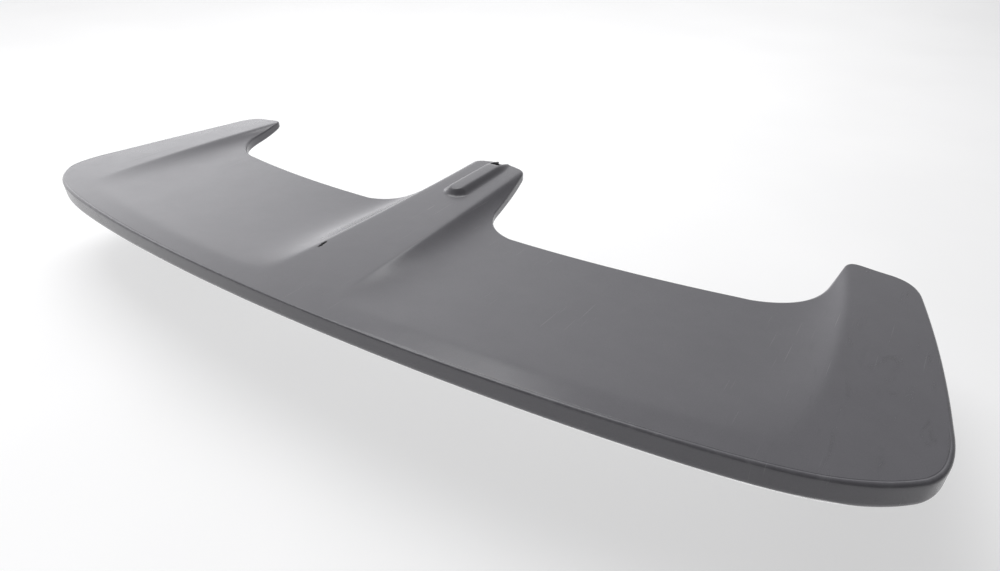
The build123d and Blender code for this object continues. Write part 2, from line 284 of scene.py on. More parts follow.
def right_half():
    """Named stretches of the right half, from the rear middle round to the centre tip."""
    turn = np.array([577.4, trailing_y(577.4)])
    before_turn = np.array([576.4, trailing_y(576.4)])
    side_start, side_end = np.array([591.6, 182.2]), np.array([546.4, 398.9])
    side_middle = bowed(side_start, side_end, SIDE_BOW)
    side_corner = meet(before_turn, turn, side_middle, side_start)
    side_foot = meet(side_middle, side_end, (0.0, FRONT), (1.0, FRONT))
    inner_tip, outer_bend, inner_bend = (466.3, FRONT), (450.7, 319.0), (69.8, 274.0)
    centre_tip = (40.0, CENTRE_FRONT)
    edge_start = (outer_bend[0] - 58.1, window_y(outer_bend[0] - 58.1))
    edge_end = (inner_bend[0] + 42.9, window_y(inner_bend[0] + 42.9))
    tip_end = (centre_tip[0] - 14.0, CENTRE_FRONT + 1.2)
    front_x = np.linspace(tip_end[0], 0.0, 20)
    front_y = tip_end[1] + (CENTRE_BOW - 1.2) * (1 - (front_x / tip_end[0]) ** 2)
    return [
        ("lip", spaced(trailing_y, 0.0, 535.0, 300)),
        ("corner", spaced(trailing_y, 535.0, turn[0], 30)),
        ("corner", bezier(turn, side_corner, side_start, 30)),
        ("side", bezier(side_start, side_middle, side_end, 60)),
        ("side", bezier(side_end, side_foot, toward(side_foot, inner_tip, 28.2), 24)),
        ("tip", rounded(side_foot, inner_tip, outer_bend, 13.0)),
        ("leg", bezier(toward(outer_bend, inner_tip, 51.6), outer_bend, edge_start, 60)),
        ("window", spaced(window_y, edge_start[0], edge_end[0], 120)),
        ("window", bezier(edge_end, inner_bend, toward(inner_bend, centre_tip, 42.9), 40)),
        ("leg", bezier(toward(centre_tip, inner_bend, 14.0), centre_tip, tip_end, 24)),
        ("tip", np.stack([front_x, front_y], 1)),
    ]


def resampled(points, values, step):
    """A closed chain at even spacing, with the values that go with it."""
    closed = np.vstack([points, points[:1]])
    lengths = np.linalg.norm(np.diff(closed, axis=0), axis=1)
    along = np.concatenate([[0.0], np.cumsum(lengths)])
    count = int(round(along[-1] / step))
    places = np.linspace(0.0, along[-1], count, endpoint=False)
    chain = np.stack([np.interp(places, along, closed[:, k]) for k in (0, 1)], 1)
    carried = np.vstack([values, values[:1]])
    extra = [np.interp(places, along, carried[:, k]) for k in range(values.shape[1])]
    return chain, np.stack(extra, 1)


def softened(values, width):
    """A running average round the closed chain, so that no rounding starts abruptly."""
    kernel = np.hanning(2 * width + 3)[1:-1]
    kernel /= kernel.sum()
    padded = np.concatenate([values[-width:], values, values[:width]])
    return np.stack([np.convolve(padded[:, k], kernel, "valid") for k in range(values.shape[1])], 1)


def outline():
    """Points of the closed outline, inward normals, and the roundings at each point."""
    right = right_half()
    points, values = [], []
    left = [(kind, (run * [-1, 1])[::-1]) for kind, run in reversed(right)]
    for kind, run in right + left:
        points.append(run[:-1])
        value = np.tile(ROUNDING[kind], (len(run) - 1, 1))
        if kind == "lip":
            outward = np.abs(run[:-1, 0]) / HALF_WIDTH
            value[:, 0] += CREASE_GROWTH * outward**2
            # the groove starts a little way out from the middle and is shallower at the corners
            value[:, 3] = np.clip(3.0 * outward - 0.3, 0.0, 1.0) - 0.4 * outward**2
        values.append(value)
    chain, extra = resampled(np.vstack(points), np.vstack(values), OUTLINE_STEP)
    tangent = np.roll(chain, -1, 0) - np.roll(chain, 1, 0)
    tangent /= np.linalg.norm(tangent, axis=1)[:, None]
    inward = np.stack([-tangent[:, 1], tangent[:, 0]], 1)
    return chain, inward, softened(extra, 7)


CHAIN, INWARD, ROUND = outline()
LEAN = WALL_LEAN * (1 - CHAIN[:, 1] / (FRONT + CENTRE_BOW))
CREST = frame_height(CHAIN[:, 0], CHAIN[:, 1])


# ---- edge profile -------------------------------------------------------------------
def at(distance, height):
    """Height of a surface at a distance inboard of each outline point."""
    p = CHAIN + INWARD * distance[:, None]
    return height(p[:, 0], p[:, 1])


def slope(distance, height):
    return (at(distance + 0.2, height) - at(distance - 0.2, height)) / 0.4


def unit(a, z):
    return np.stack([a, z], 1) / np.hypot(a, z)[:, None]


def arc(start, corner, end, count):
    """Circular rounding of a corner, as a rational quadratic curve."""
    a = unit(*(start - corner).T)
    b = unit(*(end - corner).T)
    weight = np.sqrt(np.clip((1 - (a * b).sum(1)) / 2, 0, 1))[:, None]
    rings = []
    for t in np.linspace(0.0, 1.0, count):
        w0, w1, w2 = (1 - t) ** 2, 2 * weight * t * (1 - t), t * t
        rings.append((w0 * start + w1 * corner + w2 * end) / (w0 + w1 + w2))
    return rings


def corner_on_wall(height, offset):
    """Where a surface meets the leaning wall: the distance inboard, found by repetition."""
    distance = np.full(len(CHAIN), offset)
    for _ in range(6):
        distance = LEAN * (CREST - at(distance, height)) + offset
    return distance


def profile(top, under, offset, counts):
    """Rings (distance inboard, height) from the top surface over the edge to the lower return."""
    on_top, on_arc, on_wall, on_foot, on_return = counts
    upper_r = np.maximum(ROUND[:, 0] - offset, 0.5)
    lower_r = np.maximum(ROUND[:, 1] - offset, 0.5)
    a1, a2 = corner_on_wall(top, offset), corner_on_wall(under, offset)
    c1 = np.stack([a1, at(a1, top)], 1)
    c2 = np.stack([a2, at(a2, under)], 1)
    wall = unit(*(c2 - c1).T)
    along_top = unit(np.ones_like(a1), slope(a1, top))
    along_under = unit(np.ones_like(a2), slope(a2, under))
    turn1 = np.arccos(np.clip(-(along_top * wall).sum(1), -1, 1))
    turn2 = np.arccos(np.clip((wall * along_under).sum(1), -1, 1))
    reach1, reach2 = upper_r * np.tan(turn1 / 2), lower_r * np.tan(turn2 / 2)
    room = 0.94 * np.linalg.norm(c2 - c1, axis=1) / (reach1 + reach2)
    reach1, reach2 = reach1 * np.minimum(room, 1), reach2 * np.minimum(room, 1)
    start = a1 + reach1 * along_top[:, 0]
    rings = []
    band = GROOVE_BAND + 1.2 * ROUND[:, 3]
    for t in np.linspace(1.0, 0.0, on_top, endpoint=False):
        a = start + band * t
        groove = GROOVE * ROUND[:, 3] * math.exp(-(((t - 0.45) / 0.2) ** 2))
        rings.append(np.stack([a, at(a, top) - (groove if offset == 0 else 0.0)], 1))
    first = np.stack([start, at(start, top)], 1)
    rings += arc(first, c1, c1 + wall * reach1[:, None], on_arc)
    low = c2 - wall * reach2[:, None]
    for t in np.linspace(0.0, 1.0, on_wall + 2)[1:-1]:
        rings.append(rings[on_top + on_arc - 1] * (1 - t) + low * t)
    end = a2 + reach2 * along_under[:, 0]
    rings += arc(low, c2, np.stack([end, at(end, under)], 1), on_foot)
    for t in np.linspace(0.0, 1.0, on_return + 1)[1:]:
        a = end + (RETURN_END - end) * t
        rings.append(np.stack([a, at(a, under)], 1))
    return rings


def ring_points(ring):
    plan = CHAIN + INWARD * ring[:, :1]
    return np.column_stack([plan, ring[:, 1]])


RETURN_END = corner_on_wall(under_height, 0.0) + ROUND[:, 1] + ROUND[:, 2]


# ---- sheets -------------------------------------------------------------------------
def lattice(x0, x1, y0, y1, step):
    """Staggered grid points over a rectangle."""
    rows = np.arange(y0, y1, step * 0.87)
    points = []
    for k, y in enumerate(rows):
        x = np.arange(x0 + (k % 2) * step / 2, x1, step)
        points.append(np.stack([x, np.full_like(x, y)], 1))
    return np.vstack(points)


def zoned(zones):
    """Grid points of several rectangles: a finer one takes the place of a coarser one under it."""
    kept = np.zeros((0, 2))
    for x0, x1, y0, y1, step in zones:
        inside = (kept[:, 0] > x0 - step) & (kept[:, 0] < x1 + step / 2)
        inside &= (kept[:, 1] > y0 - step) & (kept[:, 1] < y1 + step / 2)
        kept = np.vstack([kept[~inside], lattice(x0, x1, y0, y1, step)])
    return kept


def clear_of(points, loop, inward, gap):
    """The points that lie inboard of a loop by more than a gap."""
    tree = KDTree(len(loop))
    for k, p in enumerate(loop):
        tree.insert((p[0], p[1], 0.0), k)
    tree.balance()
    nearest = np.array([tree.find((p[0], p[1], 0.0))[1] for p in points])
    depth = ((points - loop[nearest]) * inward[nearest]).sum(1)
    return points[depth > gap]


def sheet(loop, grid, height, holes=()):
    """Triangles over the plan inside a loop, outside the holes, at the heights of a surface."""
    plan = [loop[:, :2], grid]
    edges = []
    start = len(loop) + len(grid)
    for ring in holes:
        plan.append(ring[:, :2])
        edges += [(start + k, start + (k + 1) % len(ring)) for k in range(len(ring))]
        start += len(ring)
    plan = np.vstack(plan)
    result = delaunay_2d_cdt([Vector(p) for p in plan], edges, [list(range(len(loop)))], 1, 1e-4)
    faces = np.array([f for f in result[2]])
    if len(result[0]) != len(plan):
        raise ValueError("two points of a sheet fell together")
    middles = plan[faces].mean(1)
    for ring in holes:
        centre = ring[:, :2].mean(0)
        radius = np.linalg.norm(ring[0, :2] - centre)
        outside = np.linalg.norm(middles - centre, axis=1) > radius * 0.995
        faces, middles = faces[outside], middles[outside]
    z = height(plan[:, 0], plan[:, 1])
    z[: len(loop)] = loop[:, 2]
    return np.column_stack([plan, z]), faces


SHARP_ANGLE = math.radians(40.0)


class Shell:
    """Collects points and faces of one closed mesh."""

    def __init__(self):
        self.points, self.faces, self.count = [], [], 0

    def add(self, points):
        first = self.count
        self.points.append(points)
        self.count += len(points)
        return first

    def add_sheet(self, points, faces, flip=False):
        first = self.add(points)
        order = (0, 2, 1) if flip else (0, 1, 2)
        self.faces += [tuple(int(f[k]) + first for k in order) for f in faces]
        return first

    def bridge(self, a, b, count, flip=False):
        """Quads between two closed rings of equal count that start at points a and b."""
        for k in range(count):
            n = (k + 1) % count
            quad = (a + k, a + n, b + n, b + k)
            self.faces.append(quad[::-1] if flip else quad)

    def bridge_chain(self, first, rings, last, flip=False):
        """Quads from one ring through new rings to a last one."""
        previous = first
        for ring in rings:
            here = self.add(ring)
            self.bridge(previous, here, len(ring), flip)
            previous = here
        if last is not None:
            self.bridge(previous, last, len(rings[0]) if rings else len(CHAIN), flip)
        return previous

    def make(self, name):
        mesh = bpy.data.meshes.new(name)
        points = (np.vstack(self.points) - ORIGIN) / 1000
        mesh.from_pydata(points.tolist(), [], self.faces)
        mesh.validate()
        tidy = bmesh.new()
        tidy.from_mesh(mesh)
        bmesh.ops.recalc_face_normals(tidy, faces=tidy.faces)
        tidy.to_mesh(mesh)
        tidy.free()
        mesh.polygons.foreach_set("use_smooth", [True] * len(mesh.polygons))
        mesh.set_sharp_from_angle(angle=SHARP_ANGLE)
        piece = bpy.data.objects.new(name, mesh)
        bpy.context.scene.collection.objects.link(piece)
        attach(piece, "root")
        return piece


# grid spacing by place: (low X, high X, low Y, high Y, spacing), finer zones after coarser ones
FINE_ZONES = [
    (-600.0, 600.0, 0.0, 430.0, 6.0),
    (-560.0, -440.0, 110.0, 430.0, 3.5),
    (440.0, 560.0, 110.0, 430.0, 3.5),
    (-76.0, 76.0, 60.0, 422.0, 2.5),
    (-51.0, -39.0, 100.0, 380.0, 1.0),
    (39.0, 51.0, 100.0, 380.0, 1.0),
    (-21.0, 21.0, 290.0, 420.0, 1.2),
    (-52.0, -35.0, 100.0, 123.0, 0.7),
]
COARSE_ZONES = [
    (-600.0, 600.0, 0.0, 430.0, 12.0),
    (-556.0, -448.0, 296.0, 430.0, 4.0),
    (448.0, 556.0, 296.0, 430.0, 4.0),
    (-60.0, 60.0, 296.0, 430.0, 4.0),
]


def chip_depth(x, y):
    """The small gouge in the left crease of the centre leg."""
    along = (x - CHIP[0]) * CHIP_WAY[0] + (y - CHIP[1]) * CHIP_WAY[1]
    across = (y - CHIP[1]) * CHIP_WAY[0] - (x - CHIP[0]) * CHIP_WAY[1]
    width = CHIP_WIDTH + 0.4 * np.sin(along * 1.3)
    edge = 1.0 - (along / CHIP_LENGTH) ** 2 - (across / width) ** 2
    return CHIP_DEPTH * np.sqrt(np.maximum(edge, 0.0))


def worn_top(x, y):
    return top_height(x, y) - chip_depth(x, y)


def inside_top(x, y):
    return top_height(x, y) - SKIN


def inside_under(x, y):
    return under_height(x, y) + SKIN


def cut_mouth(piece):
    """Opens the front end of the channel with a closed cutter."""
    floor = frame_height(0.0, CENTRE_FRONT) - SKIN
    low = (np.array([-MOUTH, MOUTH_START, floor]) - ORIGIN) / 1000
    high = (np.array([MOUTH, FRONT + 20.0, floor + 40.0]) - ORIGIN) / 1000
    cutter_mesh = bmesh.new()
    bmesh.ops.create_cube(cutter_mesh, size=1.0)
    for vertex in cutter_mesh.verts:
        vertex.co = [lo + (hi - lo) * (c + 0.5) for lo, hi, c in zip(low, high, vertex.co)]
    upright = [e for e in cutter_mesh.edges if abs((e.verts[0].co - e.verts[1].co).z) > 0.01]
    bmesh.ops.bevel(cutter_mesh, geom=upright, offset=0.002, segments=5, affect="EDGES", profile=0.5)
    data = bpy.data.meshes.new("mouth_cutter")
    cutter_mesh.to_mesh(data)
    cutter_mesh.free()
    cutter = bpy.data.objects.new("mouth_cutter", data)
    bpy.context.scene.collection.objects.link(cutter)
    change = piece.modifiers.new("mouth", "BOOLEAN")
    change.operation = "DIFFERENCE"
    change.solver = "EXACT"
    change.object = cutter
    bpy.context.view_layer.update()
    settled = piece.evaluated_get(bpy.context.evaluated_depsgraph_get())
    cut = bpy.data.meshes.new_from_object(settled)
    piece.modifiers.clear()
    piece.data = cut
    bpy.data.objects.remove(cutter)


SOFT_BEND = 0.08            # bend in radians per mm that is too soft to wear like an edge


def mark_rims(piece):
    """Two values on every point for the materials: how sharp the edge is there, and the chip."""
    mesh = piece.data
    count = len(mesh.vertices)
    points = np.empty(count * 3)
    mesh.vertices.foreach_get("co", points)
    points = points.reshape(-1, 3) * 1000 + ORIGIN
    normals = np.empty(count * 3)
    mesh.vertices.foreach_get("normal", normals)
    normals = normals.reshape(-1, 3)
    edges = np.empty(len(mesh.edges) * 2, dtype=int)
    mesh.edges.foreach_get("vertices", edges)
    a, b = edges.reshape(-1, 2).T
    run = points[b] - points[a]
    length = np.maximum(np.linalg.norm(run, axis=1), 0.2)
    bend = ((normals[b] - normals[a]) * run).sum(1) / length**2
    total = np.bincount(a, bend, count) + np.bincount(b, bend, count)
    share = np.bincount(a, minlength=count) + np.bincount(b, minlength=count)
    rim = np.clip((total / np.maximum(share, 1) - SOFT_BEND) * 8.0, 0.0, 1.0)
    chip = np.clip(chip_depth(points[:, 0], points[:, 1]) / 0.8, 0.0, 1.0)
    chip[points[:, 2] < top_height(points[:, 0], points[:, 1]) - 2.2] = 0.0
    for name, values in (("rim", rim), ("chip", chip)):
        layer = mesh.attributes.new(name, "FLOAT", "POINT")
        layer.data.foreach_set("value", values.astype(np.float32))


def moulded_skin():
    """The upper moulding: top, rounded edges, walls, lower return and its inner face."""
    shell = Shell()
    outer = [ring_points(r) for r in profile(top_height, under_height, 0.0, (8, 9, 4, 17, 3))]
    inner = [ring_points(r) for r in profile(inside_top, inside_under, SKIN, (1, 3, 1, 5, 1))]
    grid = clear_of(zoned(FINE_ZONES), outer[0][:, :2], INWARD, 1.4)
    first = shell.add_sheet(*sheet(outer[0], grid, worn_top))
    end = shell.bridge_chain(first, outer[1:], None, flip=True)
    grid = clear_of(zoned(COARSE_ZONES), inner[0][:, :2], INWARD, 4.0)
    inside = shell.add_sheet(*sheet(inner[0], grid, inside_top), flip=True)
    last = shell.bridge_chain(inside, inner[1:], None)
    shell.bridge(end, last, len(CHAIN), flip=True)
    piece = shell.make("moulded_skin")
    cut_mouth(piece)
    mark_rims(piece)
    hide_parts("upper_skin")
    return piece


def circle(centre, radius, height, count=48):
    """Ring of points round a bolt: height is a number or a surface."""
    angle = np.linspace(0.0, 2 * math.pi, count, endpoint=False)
    x = centre[0] + radius * np.cos(angle)
    y = centre[1] + radius * np.sin(angle)
    z = height(x, y) if callable(height) else np.full_like(x, height)
    return np.column_stack([x, y, z])


def boss_rings(bolt):
    """Rings from the panel's underside down over a boss, up its bore and out over its top."""
    pad = frame_height(bolt[0], BOLT_Y) - BOSS_DROP
    fillet = 2.0
    rings = []
    for t in np.linspace(0.0, math.pi / 2, 5)[1:]:
        radius = BOSS_R + fillet * (1 - math.sin(t))
        drop = fillet * (1 - math.cos(t))
        rings.append(circle(bolt, radius, lambda x, y, d=drop: under_height(x, y) - d))
    for radius, rise in ((BOSS_R, 0.9), (BOSS_R - 0.25, 0.25), (BOSS_R - 0.9, 0.0), (INSERT_R + 0.3, 0.0)):
        rings.append(circle(bolt, radius, pad + rise))
    for radius, rise in ((INSERT_R, 0.3), (INSERT_R, BOSS_HEIGHT), (BOSS_R - 0.6, BOSS_HEIGHT)):
        rings.append(circle(bolt, radius, pad + rise))
    rings.append(circle(bolt, BOSS_R, pad + BOSS_HEIGHT - 0.6))
    return rings


def closing_skin():
    """The lower moulding, let in behind a seam, with two bosses under each leg."""
    shell = Shell()
    inset = RETURN_END + SEAM
    low = ring_points(np.stack([inset, at(inset, under_height)], 1))
    high = ring_points(np.stack([inset, at(inset, inside_under)], 1))
    grid = clear_of(zoned(COARSE_ZONES), low[:, :2], INWARD, 4.0)
    for bolt in BOLTS:
        grid = grid[np.linalg.norm(grid - bolt, axis=1) > BOSS_R + 5.0]
    low_holes = [circle(b, BOSS_R + 2.0, under_height) for b in BOLTS]
    high_holes = [circle(b, BOSS_R, inside_under) for b in BOLTS]
    below = shell.add_sheet(*sheet(low, grid, under_height, low_holes), flip=True)
    above = shell.add_sheet(*sheet(high, grid, inside_under, high_holes))
    shell.bridge(below, above, len(CHAIN))
    start = len(low) + len(grid)
    for k, bolt in enumerate(BOLTS):
        offset = start + k * len(low_holes[0])
        shell.bridge_chain(below + offset, boss_rings(bolt), above + offset)
    piece = shell.make("closing_skin")
    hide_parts("lower_skin")
    return piece


def bond_bead():
    """Adhesive all along the seam: it fills the gap, and spreads over both skins inside round the legs."""
    middle = RETURN_END + SEAM / 2
    spread = np.clip((7.0 - ROUND[:, 1]) / 4.0, 0.0, 1.0)
    fill = SEAM / 2 - 0.01
    rings = []
    for reach, growth, drop, rise in (
        (fill, 0.0, 0.4, 0.0), (0.5, 2.5, 0.3, 0.35), (0.4, 1.6, 0.15, 2.2), (0.0, 0.0, 0.1, 3.1),
        (-0.4, -1.6, 0.15, 2.2), (-0.5, -2.5, 0.3, 0.35), (-fill, 0.0, 0.4, 0.0),
    ):
        distance = middle + reach + growth * spread
        rings.append(np.stack([distance, at(distance, inside_under) - drop + rise * spread], 1))
    for reach in (-fill, fill):
        rings.append(np.stack([middle + reach, at(middle + reach, under_height) + BEAD_RECESS], 1))
    shell = Shell()
    first = shell.add(ring_points(rings[0]))
    shell.bridge_chain(first, [ring_points(ring) for ring in rings[1:]], first)
    piece = shell.make("bond_bead")
    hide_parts("outer_bond_bead", "left_window_bond_bead", "right_window_bond_bead")
    return piece


def bolt_piece(name, node, ring_sets):
    """One closed revolved body at each bolt, from the rings that a function gives for it."""
    shell = Shell()
    for bolt in BOLTS:
        rings = ring_sets(bolt)
        first = shell.add(rings[0])
        shell.bridge_chain(first, rings[1:], first)
    piece = shell.make(name)
    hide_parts(node)
    return piece


def gasket_rings(bolt):
    """Closed-cell foam ring: flat face, soft shoulders, a slight bulge, top against the underside."""
    pad = frame_height(bolt[0], BOLT_Y) - BOSS_DROP
    inner, outer = BOSS_R + 0.35, GASKET_R - 0.3
    rings = []
    for radius, rise in (
        (inner, 0.7), (inner + 0.2, 0.3), (inner + 0.7, 0.1), (inner + 1.8, 0.1),
        (outer - 1.2, 0.1), (outer - 0.6, 0.3), (outer - 0.2, 0.8), (outer, 1.6),
    ):
        rings.append(circle(bolt, radius, pad + rise, 64))
    for radius, drop in (
        (outer, 0.7), (outer - 0.2, 0.3), (outer - 0.6, 0.1), (inner + 0.6, 0.1), (inner, 0.4),
    ):
        rings.append(circle(bolt, radius, lambda x, y, d=drop: under_height(x, y) - d, 64))
    return rings


def insert_rings(bolt):
    """Blind insert with a real thread: the bore's radius follows a helix."""
    pad = frame_height(bolt[0], BOLT_Y) - BOSS_DROP
    head = pad + BOSS_HEIGHT + PLATE_T
    count = 40
    angle = np.linspace(0.0, 2 * math.pi, count, endpoint=False)
    rings = []
    for radius, height in (
        (0.05, head + INSERT_HEAD_T), (INSERT_HEAD_R - 0.4, head + INSERT_HEAD_T),
        (INSERT_HEAD_R, head + INSERT_HEAD_T - 0.4), (INSERT_HEAD_R, head + 0.3),
        (INSERT_HEAD_R - 0.2, head + 0.05), (INSERT_R - 0.15, head), (INSERT_R - 0.1, head - 0.5),
    ):
        rings.append(circle(bolt, radius, height, count))
    for rise in np.arange(BOSS_HEIGHT, 1.0, -1.0):
        rings.append(circle(bolt, INSERT_R - 0.1 - 0.12 * (rise % 2), pad + rise, count))
    rings.append(circle(bolt, INSERT_R - 0.05, pad + 0.3, count))
    rings.append(circle(bolt, INSERT_R - 0.35, pad + 0.02, count))
    rings.append(circle(bolt, THREAD_R + 0.9, pad + 0.02, count))
    for rise in np.arange(0.5, head - pad - 0.5, 0.2):
        phase = (rise - angle / (2 * math.pi) * THREAD_PITCH) / THREAD_PITCH % 1.0
        cut = 0.5 * np.clip(1.5 - np.abs(phase - 0.5) * 4, 0.0, 1.0)
        lead = max(1.0 - rise, 0.0) * 0.6
        radius = THREAD_R + np.maximum(cut, lead)
        x = bolt[0] + radius * np.cos(angle)
        y = bolt[1] + radius * np.sin(angle)
        rings.append(np.column_stack([x, y, np.full(count, pad + rise)]))
    rings.append(circle(bolt, THREAD_R - 0.3, head - 0.2, count))
    rings.append(circle(bolt, 0.05, head - 0.1, count))
    return rings


# ---- materials ----------------------------------------------------------------------
RANGE_SOCKETS = ("From Min", "From Max", "To Min", "To Max")


class Nodes:
    """A small helper that adds nodes and joins them."""

    def __init__(self, name):
        self.material = bpy.data.materials.new(name)
        self.material.use_nodes = True
        self.tree = self.material.node_tree
        self.shader = self.tree.nodes["Principled BSDF"]
        coords = self.tree.nodes.new("ShaderNodeTexCoord")
        self.place = coords.outputs["Object"]

    def link(self, value, socket):
        if isinstance(value, bpy.types.NodeSocket):
            self.tree.links.new(value, socket)
        else:
            socket.default_value = value

    def mapped(self, scale=(1, 1, 1), angle=0.0, shift=(0, 0, 0)):
        node = self.tree.nodes.new("ShaderNodeMapping")
        node.inputs["Scale"].default_value = scale
        node.inputs["Rotation"].default_value = (0, 0, angle)
        node.inputs["Location"].default_value = shift
        self.link(self.place, node.inputs["Vector"])
        return node.outputs["Vector"]

    def noise(self, scale, detail=3.0, rough=0.5, vector=None, twist=0.0):
        node = self.tree.nodes.new("ShaderNodeTexNoise")
        node.inputs["Scale"].default_value = scale
        node.inputs["Detail"].default_value = detail
        node.inputs["Roughness"].default_value = rough
        node.inputs["Distortion"].default_value = twist
        self.link(vector or self.place, node.inputs["Vector"])
        return node.outputs["Fac"]

    def cells(self, scale, feature="F1", vector=None, output="Distance"):
        node = self.tree.nodes.new("ShaderNodeTexVoronoi")
        node.feature = feature
        node.inputs["Scale"].default_value = scale
        self.link(vector or self.place, node.inputs["Vector"])
        return node.outputs[output]

    def weave(self, scale, direction):
        node = self.tree.nodes.new("ShaderNodeTexWave")
        node.bands_direction = direction
        node.inputs["Scale"].default_value = scale
        node.inputs["Distortion"].default_value = 0.6
        node.inputs["Detail Scale"].default_value = 2.0
        self.link(self.place, node.inputs["Vector"])
        return node.outputs["Fac"]

    def ramp(self, value, low, high, out_low=0.0, out_high=1.0):
        node = self.tree.nodes.new("ShaderNodeMapRange")
        node.interpolation_type = "SMOOTHSTEP"
        for name, number in zip(RANGE_SOCKETS, (low, high, out_low, out_high)):
            node.inputs[name].default_value = number
        self.link(value, node.inputs["Value"])
        return node.outputs["Result"]

    def maths(self, operation, a, b=0.0, clamp=False):
        node = self.tree.nodes.new("ShaderNodeMath")
        node.operation = operation
        node.use_clamp = clamp
        self.link(a, node.inputs[0])
        self.link(b, node.inputs[1])
        return node.outputs[0]

    def attribute(self, name):
        node = self.tree.nodes.new("ShaderNodeAttribute")
        node.attribute_name = name
        return node.outputs["Fac"]

    def axis(self, which, vector=None):
        node = self.tree.nodes.new("ShaderNodeSeparateXYZ")
        self.link(vector or self.place, node.inputs[0])
        return node.outputs[which]

    def mix(self, share, a, b, mode="MIX"):
        node = self.tree.nodes.new("ShaderNodeMix")
        node.data_type = "RGBA"
        node.blend_type = mode
        self.link(share, node.inputs[0])
        for value, socket in ((a, node.inputs[6]), (b, node.inputs[7])):
            self.link((*value, 1.0) if isinstance(value, tuple) else value, socket)
        return node.outputs[2]

    def tint(self, colour, *shares):
        """Multiplies a colour by grey factors."""
        product = shares[0]
        for share in shares[1:]:
            product = self.maths("MULTIPLY", product, share)
        node = self.tree.nodes.new("ShaderNodeCombineColor")
        for name in ("Red", "Green", "Blue"):
            self.link(product, node.inputs[name])
        return self.mix(1.0, colour, node.outputs[0], "MULTIPLY")

    def bump(self, *layers):
        """Chains bumps, each (height, strength, distance in metres), into the shader."""
        normal = None
        for height, strength, distance in layers:
            node = self.tree.nodes.new("ShaderNodeBump")
            node.inputs["Strength"].default_value = strength
            node.inputs["Distance"].default_value = distance
            self.link(height, node.inputs["Height"])
            if normal is not None:
                self.link(normal, node.inputs["Normal"])
            normal = node.outputs["Normal"]
        self.link(normal, self.shader.inputs["Normal"])

    def finish(self, colour, roughness, metallic=0.0, specular=0.5):
        self.link((*colour, 1.0) if isinstance(colour, tuple) else colour, self.shader.inputs["Base Color"])
        self.link(roughness, self.shader.inputs["Roughness"])
        self.shader.inputs["Metallic"].default_value = metallic
        self.shader.inputs["Specular IOR Level"].default_value = specular
        return self.material


def primer():
    """Satin mid-grey primer over moulded plastic: mottled, faintly speckled, scuffed and scratched."""
    n = Nodes("satin_primer")
    cloud = n.ramp(n.noise(4.0, 2.0), 0.3, 0.7, 0.975, 1.025)
    mottle = n.ramp(n.noise(38.0, 4.0, 0.6), 0.3, 0.7, 0.98, 1.02)
    speck = n.ramp(n.noise(1500.0, 2.0), 0.25, 0.75, 0.94, 1.06)
    base = n.tint(PRIMER, cloud, mottle, speck)
    pits = n.ramp(n.cells(420.0), 0.03, 0.09, 1.0, 0.0)
    pits = n.maths("MULTIPLY", pits, n.ramp(n.noise(16.0), 0.55, 0.68))
    base = n.mix(n.maths("MULTIPLY", pits, 0.35), base, (0.03, 0.03, 0.032))
    streaks = n.noise(1.0, 3.0, 0.6, n.mapped((200.0, 7.0, 7.0), RUN_ANGLE), 0.4)
    across = n.maths("ABSOLUTE", n.maths("SUBTRACT", n.axis("X", n.mapped(angle=RUN_ANGLE)), RUN_PLACE))
    runs = n.maths("MULTIPLY", n.ramp(streaks, 0.56, 0.66), n.ramp(across, 0.015, 0.05, 1.0, 0.0))
    runs = n.maths("MULTIPLY", runs, n.ramp(n.noise(9.0), 0.42, 0.55))
    base = n.mix(n.maths("MULTIPLY", runs, 0.16), base, (0.05, 0.05, 0.052))
    outer = n.ramp(n.axis("X"), 0.42, 0.56)
    smears = n.noise(1.0, 4.0, 0.65, n.mapped((60.0, 16.0, 16.0), 0.2), 1.2)
    smears = n.maths("MULTIPLY", n.ramp(smears, 0.55, 0.72), outer)
    base = n.mix(n.maths("MULTIPLY", smears, 0.28), base, (0.045, 0.045, 0.047))
    lines = n.noise(1.0, 1.0, 0.3, n.mapped((900.0, 14.0, 14.0), 0.9), 0.25)
    crossed = n.noise(1.0, 1.0, 0.3, n.mapped((700.0, 10.0, 10.0), -0.5), 0.2)
    scratch = n.maths("MAXIMUM", n.ramp(lines, 0.74, 0.78), n.ramp(crossed, 0.75, 0.79))
    scratch = n.maths("MULTIPLY", scratch, n.ramp(n.noise(6.0, 2.0), 0.52, 0.6))
    base = n.mix(n.maths("MULTIPLY", scratch, 0.22), base, (0.34, 0.34, 0.35))
    wear = n.ramp(n.noise(60.0, 4.0, 0.7), 0.4, 0.7)
    rim = n.maths("MULTIPLY", n.ramp(n.attribute("rim"), 0.1, 0.9), wear)
    base = n.mix(n.maths("MULTIPLY", rim, 0.22), base, (0.3, 0.3, 0.31))
    base = n.mix(n.attribute("chip"), base, (0.008, 0.008, 0.009))
    rough = n.ramp(n.noise(26.0, 4.0), 0.3, 0.7, 0.18, 0.23)
    rough = n.maths("ADD", rough, n.maths("MULTIPLY", smears, 0.1))
    rough = n.maths("ADD", rough, n.maths("MULTIPLY", n.noise(900.0, 1.0), 0.05))
    waves = n.noise(9.0, 1.0)
    peel = n.noise(330.0, 2.0)
    grain = n.noise(2600.0, 1.0)
    n.bump((waves, 0.015, 0.004), (peel, 0.03, 0.0006), (grain, 0.08, 0.0002), (scratch, -0.1, 0.0002))
    return n.finish(base, rough, specular=PRIMER_GLOSS)


